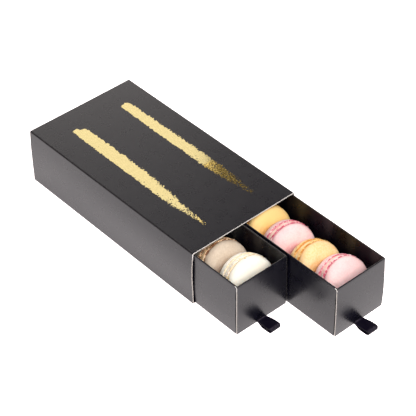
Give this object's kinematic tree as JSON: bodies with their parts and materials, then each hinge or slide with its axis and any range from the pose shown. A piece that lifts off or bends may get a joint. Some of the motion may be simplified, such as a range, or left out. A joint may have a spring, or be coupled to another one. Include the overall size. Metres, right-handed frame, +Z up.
{
  "type": "macaron drawer box",
  "caption": "Black card sleeve with side-by-side pull-out drawers on ribbon loops, each holding a row of macarons standing on edge.",
  "frame": {"origin": "middle of the sleeve's flat underside", "axes": "+Z up, +Y along the sleeve away from its mouth; the drawers slide out along -Y"},
  "size_m": [0.1134, 0.33, 0.0535],
  "materials": {
    "black_card": "satin",
    "black_satin": "satin",
    "white_core": "matte",
    "gold_foil": "polished",
    "pink_shell": "satin",
    "yellow_shell": "satin",
    "white_shell": "satin",
    "taupe_shell": "satin",
    "pink_filling": "matte",
    "yellow_filling": "matte",
    "white_filling": "matte",
    "taupe_filling": "matte"
  },
  "bodies": {
    "sleeve": {"sleeve": "black_card"},
    "left_drawer": {"left_tray": "black_card", "left_ribbon": "black_satin", "left_macaron_1_front": "white_shell", "left_macaron_1_filling": "white_filling", "left_macaron_1_rear": "white_shell", "left_macaron_2_front": "taupe_shell", "left_macaron_2_filling": "taupe_filling", "left_macaron_2_rear": "taupe_shell", "left_macaron_3_front": "white_shell", "left_macaron_3_filling": "white_filling", "left_macaron_3_rear": "white_shell", "left_macaron_4_front": "taupe_shell", "left_macaron_4_filling": "taupe_filling", "left_macaron_4_rear": "taupe_shell", "left_macaron_5_front": "white_shell", "left_macaron_5_filling": "white_filling", "left_macaron_5_rear": "white_shell", "left_macaron_6_front": "taupe_shell", "left_macaron_6_filling": "taupe_filling", "left_macaron_6_rear": "taupe_shell", "left_macaron_7_front": "white_shell", "left_macaron_7_filling": "white_filling", "left_macaron_7_rear": "white_shell"},
    "right_drawer": {"right_tray": "black_card", "right_ribbon": "black_satin", "right_macaron_1_front": "pink_shell", "right_macaron_1_filling": "pink_filling", "right_macaron_1_rear": "pink_shell", "right_macaron_2_front": "yellow_shell", "right_macaron_2_filling": "yellow_filling", "right_macaron_2_rear": "yellow_shell", "right_macaron_3_front": "pink_shell", "right_macaron_3_filling": "pink_filling", "right_macaron_3_rear": "pink_shell", "right_macaron_4_front": "yellow_shell", "right_macaron_4_filling": "yellow_filling", "right_macaron_4_rear": "yellow_shell", "right_macaron_5_front": "pink_shell", "right_macaron_5_filling": "pink_filling", "right_macaron_5_rear": "pink_shell", "right_macaron_6_front": "yellow_shell", "right_macaron_6_filling": "yellow_filling", "right_macaron_6_rear": "yellow_shell", "right_macaron_7_front": "pink_shell", "right_macaron_7_filling": "pink_filling", "right_macaron_7_rear": "pink_shell"}
  },
  "joints": [
    {"name": "left_drawer_slide", "type": "slide", "parent": "sleeve", "child": "left_drawer", "axis": [0, -1, 0], "range_m": [-0.05, 0.135]},
    {"name": "right_drawer_slide", "type": "slide", "parent": "sleeve", "child": "right_drawer", "axis": [0, -1, 0], "range_m": [-0.103, 0.082]}
  ]
}
